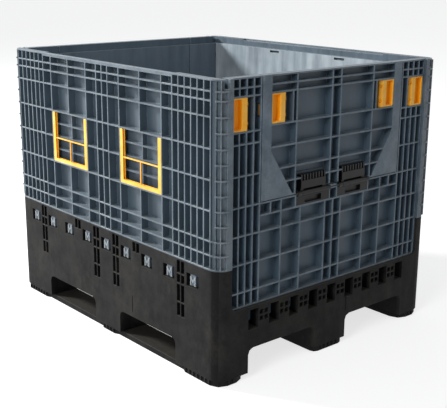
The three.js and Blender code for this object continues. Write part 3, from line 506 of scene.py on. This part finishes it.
round_edges(foot_ribs, 0.0005)
finish_piece(foot_ribs, black_moulding, "base", "black_base")
finish_piece(mirrored_copy(foot_ribs, "foot_ribs_rear_left", "xy"), black_moulding, "base", "black_base")

# Long walls
# Slate-grey mouldings with a grid of ribs on the outside and a smooth inside. They hook
# round steel rods in the base, and their rounded ends are the bin's corner posts.

grey_moulding = plastic(
    "grey_moulding", srgb(70, 84, 95), 0.42, srgb(168, 178, 184), srgb(126, 134, 138),
    clouds=0.3, streaks=0.25, rubbed=0.7, lying=0.45, clinging=0.1, inside=0.95, outer_wear_and_highlight=0.22,
)

for side, node, half_turn in (("front", "long_wall_front", False), ("rear", "long_wall_rear", True)):
    wall = copy_of("long_wall_front", f"long_wall_{side}_ribbed", half_turn)
    round_edges(wall, 0.0007)
    finish_piece(wall, grey_moulding, "base", "grey_wall", node)

# Rungs cross the hollow in each corner post and stand a little proud of it, and an upright
# rib joins them
post_centre = Vector((0.555, -0.455, 0))
post_radius = 0.045
hollow_depth = 0.009
rung_proud = 0.0045
hollow_angles = (math.radians(30), math.radians(84))
upright_angles = (math.radians(49), math.radians(53))
rung_thickness = 0.005
rung_heights = (
    0.915, 0.888, 0.841, 0.7945, 0.748, 0.7015, 0.655, 0.6085, 0.562, 0.5155, 0.469, 0.425,
)
hollow_range = (0.3825, 0.9455)


def arc_bar(name, angles, low, high, steps):
    """A bar that runs round the corner post between two angles and two heights."""
    middle = post_radius + rung_proud - (hollow_depth + rung_proud) / 2
    start = angles[0]
    place = post_centre + Vector((middle * math.sin(start), -middle * math.cos(start), (low + high) / 2))
    bpy.ops.object.select_all(action="DESELECT")
    bpy.ops.mesh.primitive_plane_add(size=1, location=place, rotation=(0, math.pi / 2, start))
    bar = bpy.context.object
    bar.name = name
    bar.scale = (high - low, hollow_depth + rung_proud, 1)
    bpy.ops.object.transform_apply(location=True, rotation=True, scale=True)
    bpy.ops.object.mode_set(mode="EDIT")
    bpy.ops.mesh.select_all(action="SELECT")
    bpy.ops.mesh.spin(
        steps=steps, angle=angles[0] - angles[1], center=post_centre, axis=(0, 0, 1),
    )
    bpy.ops.mesh.select_all(action="SELECT")
    bpy.ops.mesh.remove_doubles(threshold=merge_distance)
    bpy.ops.mesh.normals_make_consistent(inside=False)
    bpy.ops.object.mode_set(mode="OBJECT")
    return bar


rungs = [
    arc_bar("rung", hollow_angles, height - rung_thickness / 2, height + rung_thickness / 2, 6)
    for height in rung_heights
]
upright = arc_bar("upright", upright_angles, *hollow_range, 1)
rungs_right = joined(rungs[0], *rungs[1:], upright)
rungs_right.name = "post_rungs_front_right"
round_edges(rungs_right, 0.0008)


rungs_all = [rungs_right] + [
    mirrored_copy(rungs_right, f"post_rungs_{corner}", across)
    for corner, across in (("front_left", "x"), ("rear_right", "y"), ("rear_left", "xy"))
]
for piece in rungs_all:
    finish_piece(piece, grey_moulding, "base", "grey_wall")

# Card holders
# Two yellow frames clipped into the front wall's recesses. Each is a channel, open at its
# top, that a card slides into, with a thin bar across it and one below that.


def pick_faces(piece, wanted):
    """Opens a piece in edit mode with only the wanted faces selected."""
    only(piece)
    bpy.ops.object.mode_set(mode="EDIT")
    bpy.ops.mesh.select_mode(type="FACE")
    bpy.ops.mesh.select_all(action="DESELECT")
    bpy.ops.object.mode_set(mode="OBJECT")
    for face in piece.data.polygons:
        face.select = wanted(face.center, face.normal)
    bpy.ops.object.mode_set(mode="EDIT")


def pull(*steps):
    """Extrudes what is selected along each step in turn."""
    for step in steps:
        bpy.ops.mesh.extrude_region_move(TRANSFORM_OT_translate={"value": step})


def score(piece, axis, *places):
    """Adds edges round a piece at places along an axis."""
    only(piece)
    bpy.ops.object.mode_set(mode="EDIT")
    facing = [1 if i == axis else 0 for i in range(3)]
    for place in places:
        bpy.ops.mesh.select_all(action="SELECT")
        bpy.ops.mesh.bisect(plane_co=[place * part for part in facing], plane_no=facing)
    bpy.ops.object.mode_set(mode="OBJECT")


yellow_moulding = plastic(
    "yellow_moulding", srgb(255, 173, 16), 0.4, srgb(255, 224, 120), srgb(206, 166, 84),
    clouds=0.16, streaks=0.1, rubbed=0.8, lying=0.2, clinging=0.05, outer_wear_and_highlight=0.6,
)

low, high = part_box("card_holder_right")
arm = 0.016
foot = 0.012
lip = 0.0016
groove = 0.0045
bar = 0.0045
bar_height = low.z + 0.084
bar_depth = (low.y + 0.001, low.y + 0.005)
arm_reach = 0.09  # beyond this from the middle lie the arms
middle = (low.x + high.x) / 2
holder = block("card_holder_right_channel", (low.x, low.x + arm), (low.y, high.y), (low.z, low.z + foot))
pick_faces(holder, lambda centre, normal: normal.x > 0.9)
pull((high.x - low.x - 2 * arm, 0, 0), (arm, 0, 0))
bpy.ops.object.mode_set(mode="OBJECT")
pick_faces(holder, lambda centre, normal: normal.z > 0.9 and abs(centre.x - middle) > arm_reach)
pull((0, 0, high.z - low.z - foot))
bpy.ops.object.mode_set(mode="OBJECT")
pick_faces(holder, lambda centre, normal: normal.z > 0.9 or (
    abs(normal.x) > 0.9 and abs(centre.x - middle) < 0.1 and normal.x * (centre.x - middle) < 0
))
bpy.ops.mesh.inset(thickness=lip, depth=-groove, use_boundary=True)
bpy.ops.object.mode_set(mode="OBJECT")
cross_bar = block(
    "cross_bar", (low.x + arm - lip, high.x - arm + lip), bar_depth, (bar_height, bar_height + bar),
)
drop_bar = block(
    "drop_bar", (middle - bar / 2, middle + bar / 2), bar_depth, (low.z + foot - lip, bar_height + bar / 2),
)
holder = joined(holder, cross_bar, drop_bar)
round_edges(holder, 0.0006, 2)
finish_piece(holder, yellow_moulding, "base", "yellow_latch", "card_holder_right")
holder_left = mirrored_copy(holder, "card_holder_left_channel", "x")
finish_piece(holder_left, yellow_moulding, "base", "yellow_latch", "card_holder_left")

# Hooks
# Each long wall ends below in nine hooks. What shows of one in its window is its ribbed
# face: two uprights with a dip between them, in a paler grey as a painted highlight that sets them off from
# the shaded plate behind.

# Painted highlight: the hooks' ribs are a lighter grey than the walls, standing in for lit relief against a
# shaded plate
painted_highlight_grey = plastic(
    "highlit_grey_moulding", srgb(126, 134, 140), 0.45, srgb(200, 204, 206), srgb(150, 148, 142),
    clouds=0.3, streaks=0.2, rubbed=0.6, lying=0.2, clinging=0.1,
)

hook_count = 9
hook_pitch = 0.1195
first_hook = -(hook_count - 1) / 2 * hook_pitch
upright_bar = 0.005
hook_half = 0.0128
hook_top = 0.336
hook_head = 0.009
hook_leg = 0.021
dip = 0.012
dip_foot = 0.002
rib_face = (-0.4985, -0.4955)
ribs = block(
    "hook_ribs_front", (first_hook - hook_half, first_hook - hook_half + upright_bar), rib_face,
    (hook_top - hook_head, hook_top),
)
pick_faces(ribs, lambda centre, normal: normal.x > 0.9)
slant = hook_half - upright_bar - dip_foot / 2
pull((slant, 0, -dip), (dip_foot, 0, 0), (slant, 0, dip), (upright_bar, 0, 0))
bpy.ops.object.mode_set(mode="OBJECT")
pick_faces(ribs, lambda centre, normal: normal.z < -0.9 and abs(centre.x - first_hook) > 0.008)
pull((0, 0, -hook_leg))
bpy.ops.object.mode_set(mode="OBJECT")
round_edges(ribs, 0.0005)
row_of_hooks = ribs.modifiers.new("row_of_hooks", "ARRAY")
row_of_hooks.count = hook_count
row_of_hooks.use_relative_offset = False
row_of_hooks.use_constant_offset = True
row_of_hooks.constant_offset_displace = (hook_pitch, 0, 0)
only(ribs)
bpy.ops.object.modifier_apply(modifier=row_of_hooks.name)
finish_piece(ribs, painted_highlight_grey, "base", "grey_wall")
finish_piece(mirrored_copy(ribs, "hook_ribs_rear", "xy"), painted_highlight_grey, "base", "grey_wall")

# End walls and drop doors
# Grey like the long walls. Each door closes the upper half of its end wall, and has smooth
# strips down its sides that widen at the foot, with a stop block at the top of each.

end_moulding = plastic(
    "end_wall_grey", srgb(68, 84, 97), 0.42, srgb(142, 154, 164), srgb(126, 134, 138),
    clouds=0.35, streaks=0.25, rubbed=0.8, lying=0.45, clinging=0.1, inside=0.3, outer_wear_and_highlight=0.42,
)

stop_depth = (0.5885, 0.5915)
stop_width = (0.2855, 0.3205)
stop_rise = (0.9265, 0.9485)
stop_panel = (0.931, 0.944)  # the sunk panel's share of its face
for end, half_turn in (("right", False), ("left", True)):
    wall = copy_of("end_wall_right", f"end_wall_{end}_ribbed", half_turn)
    round_edges(wall, 0.0007)
    finish_piece(wall, end_moulding, f"end_wall_{end}_body", "grey_wall", f"end_wall_{end}")
    door = copy_of("drop_door_right", f"drop_door_{end}_ribbed", half_turn)
    round_edges(door, 0.0007)
    way = -1 if half_turn else 1
    stops = []
    for side in (-1, 1):
        stop = block(
            "door_stop", sorted(way * depth for depth in stop_depth),
            sorted(side * width for width in stop_width), stop_rise,
        )
        score(stop, 2, *stop_panel)
        pick_faces(stop, lambda centre, normal: (
            way * normal.x > 0.9 and stop_panel[0] < centre.z < stop_panel[1]
        ))
        bpy.ops.mesh.inset(thickness=0.004, depth=-0.001)
        bpy.ops.object.mode_set(mode="OBJECT")
        round_edges(stop, 0.0006)
        stops.append(stop)
    door = joined(door, *stops)
    finish_piece(door, end_moulding, f"drop_door_{end}_body", "grey_wall", f"drop_door_{end}")

# Door hinges
# Glossy black mouldings: a bracket on the end wall and a leaf on the door, finned along its
# top, smooth in the middle and open below, turning on a steel pin.

black_hinge = plastic(
    "black_hinge", srgb(7, 7, 8), 0.36, srgb(66, 68, 70), srgb(60, 60, 58),
    clouds=0.2, streaks=0.1, rubbed=0.35, lying=0.12, clinging=0.02, gloss=0.3,
)
placed = (("right", "far", ""), ("right", "near", "y"), ("left", "far", "xy"), ("left", "near", "x"))

low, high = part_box("hinge_leaf_right_far")
leaf_top = high.z
leaf_foot = 0.5683
turning = Vector((0.5915, (low.y + high.y) / 2, 0.5665))
back_plate = 0.0095
fins = 17
bands = (0.5800, 0.6060)
fin_reach, band_reach, cheek_reach = 0.0095, 0.0115, 0.0095
cheek_inside = 0.045
barrel_radius = 0.008
pin_rim = 0.0037
bpy.ops.object.select_all(action="DESELECT")
bpy.ops.mesh.primitive_grid_add(
    x_subdivisions=fins, y_subdivisions=1, size=1,
    location=(low.x, turning.y, (leaf_foot + leaf_top) / 2), rotation=(math.pi / 2, 0, math.pi / 2),
)
leaf = bpy.context.object
leaf.name = "hinge_leaf_right_far_finned"
leaf.scale = (high.y - low.y, leaf_top - leaf_foot, 1)
bpy.ops.object.transform_apply(location=True, rotation=True, scale=True)
score(leaf, 2, *bands)
pick_faces(leaf, lambda centre, normal: True)
pull((back_plate, 0, 0))
bpy.ops.mesh.select_all(action="SELECT")
bpy.ops.mesh.normals_make_consistent(inside=False)
bpy.ops.object.mode_set(mode="OBJECT")
fin_width = (high.y - low.y) / fins


def is_fin(centre, normal):
    column = int((centre.y - low.y) / fin_width)
    return normal.x > 0.9 and centre.z > bands[1] and column % 2 == 0


def is_smooth_band(centre, normal):
    return normal.x > 0.9 and bands[0] < centre.z < bands[1]


def is_cheek(centre, normal):
    return normal.x > 0.9 and centre.z < bands[0] and abs(centre.y - turning.y) > cheek_inside


for wanted, reach in ((is_fin, fin_reach), (is_smooth_band, band_reach), (is_cheek, cheek_reach)):
    pick_faces(leaf, wanted)
    pull((reach, 0, 0))
    bpy.ops.object.mode_set(mode="OBJECT")
bpy.ops.object.select_all(action="DESELECT")
bpy.ops.mesh.primitive_cylinder_add(
    vertices=24, radius=barrel_radius, depth=high.y - low.y, location=turning, rotation=(math.pi / 2, 0, 0),
)
barrel = bpy.context.object
bpy.ops.object.transform_apply(location=True, rotation=True, scale=True)
pick_faces(barrel, lambda centre, normal: abs(normal.y) > 0.9)
bpy.ops.mesh.inset(thickness=pin_rim, depth=-0.003)
bpy.ops.object.mode_set(mode="OBJECT")
leaf = joined(leaf, barrel)
round_edges(leaf, 0.0005)
for end, hand, across in placed:
    piece = mirrored_copy(leaf, f"hinge_leaf_{end}_{hand}_finned", across) if across else leaf
    finish_piece(piece, black_hinge, f"drop_door_{end}_body", "black_hinge", f"hinge_leaf_{end}_{hand}")
    bracket = copy_of(f"hinge_bracket_{end}_{hand}", f"hinge_bracket_{end}_{hand}_shaped")
    round_edges(bracket, 0.0007)
    finish_piece(
        bracket, black_hinge, f"end_wall_{end}_body", "black_hinge", f"hinge_bracket_{end}_{hand}",
    )

# Latches
# Yellow mouldings that slide towards the middle of their wall or door. A finger recess lies
# behind a sloping fin, and a bolt with a slanted nose shoots outwards into its strike.

latch_width = 0.066
fin_slope = 0.010
fin_edge = 0.024
fin_drop = 0.009
recess_rim = 0.0045
recess_steps = (0.010, 0.008)
notch_start, notch_end, notch_depth = 0.016, 0.025, 0.007
corner_cut = 0.004
bolt_depth = (0.020, 0.008)
bolt_half = 0.018
for kind in ("wall", "door"):
    low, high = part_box(f"{kind}_latch_right_far")
    outer = low.y + latch_width
    middle = (low.z + high.z) / 2
    latch = block(f"{kind}_latch_right_far_shaped", (low.x, high.x), (low.y, outer), (low.z, high.z))
    score(latch, 1, low.y + fin_slope, low.y + fin_edge)
    notches = (low.z + notch_start, low.z + notch_end, high.z - notch_end, high.z - notch_start)
    score(latch, 2, *notches)
    pick_faces(latch, lambda centre, normal: normal.x > 0.9 and centre.y > low.y + fin_edge)
    bpy.ops.mesh.inset(thickness=recess_rim)
    pull((-recess_steps[0], 0, 0))
    bpy.ops.transform.resize(value=(1, 0.9, 0.94))
    pull((-recess_steps[1], 0, 0))
    bpy.ops.object.mode_set(mode="OBJECT")
    pick_faces(latch, lambda centre, normal: normal.x > 0.9 and centre.y < low.y + fin_slope and (
        notches[0] < centre.z < notches[1] or notches[2] < centre.z < notches[3]
    ))
    pull((-notch_depth, 0, 0))
    bpy.ops.object.mode_set(mode="OBJECT")
    only(latch)
    bpy.ops.object.mode_set(mode="EDIT")
    bpy.ops.mesh.select_mode(type="VERT")
    bpy.ops.mesh.select_all(action="DESELECT")
    bpy.ops.object.mode_set(mode="OBJECT")
    for corner in latch.data.vertices:
        corner.select = corner.co.y < low.y + 0.0001 and corner.co.x > high.x - 0.0001
    bpy.ops.object.mode_set(mode="EDIT")
    bpy.ops.transform.translate(value=(-fin_drop, 0, 0))
    bpy.ops.mesh.select_all(action="SELECT")
    bpy.ops.mesh.bisect(
        plane_co=(0, outer - corner_cut, low.z), plane_no=(0, 1, -1), clear_outer=True, use_fill=True,
    )
    bpy.ops.object.mode_set(mode="OBJECT")
    bolt = block(
        "bolt", (high.x - bolt_depth[0], high.x - bolt_depth[1]), (outer - 0.001, high.y),
        (middle - bolt_half, middle + bolt_half),
    )
    pick_faces(bolt, lambda centre, normal: normal.y > 0.9)
    bpy.ops.transform.resize(value=(0.5, 1, 0.9))
    bpy.ops.object.mode_set(mode="OBJECT")
    latch = joined(latch, bolt)
    round_edges(latch, 0.0007, 2)
    for end, hand, across in placed:
        node = f"{kind}_latch_{end}_{hand}"
        piece = mirrored_copy(latch, f"{node}_shaped", across) if across else latch
        finish_piece(piece, yellow_moulding, f"{node}_body", "yellow_latch", node)

# Hinge rods and pins
# Plain drawn steel bars, one under each wall and a short one through each door hinge.

steel = bpy.data.materials.new("drawn_steel")
steel.use_nodes = True
tree = steel.node_tree
tree.nodes.clear()
scratches = noise(tree, (900, 30, 900), 1, 3)
steel_surface = add_node(tree, "ShaderNodeBsdfPrincipled", inputs={
    "Base Color": mixed(tree, ranged(tree, scratches, 0.3, 0.7), srgb(120, 122, 124), srgb(176, 178, 180)),
    "Roughness": ranged(tree, scratches, 0.3, 0.7, 0.28, 0.5),
    "Metallic": 1.0,
})
add_node(tree, "ShaderNodeOutputMaterial", inputs={"Surface": steel_surface.outputs[0]})

for name in sorted(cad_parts):
    if "hinge_rod" in name or "hinge_pin" in name:
        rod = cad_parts[name]
        rod.data.materials.clear()
        rod.data.materials.append(steel)
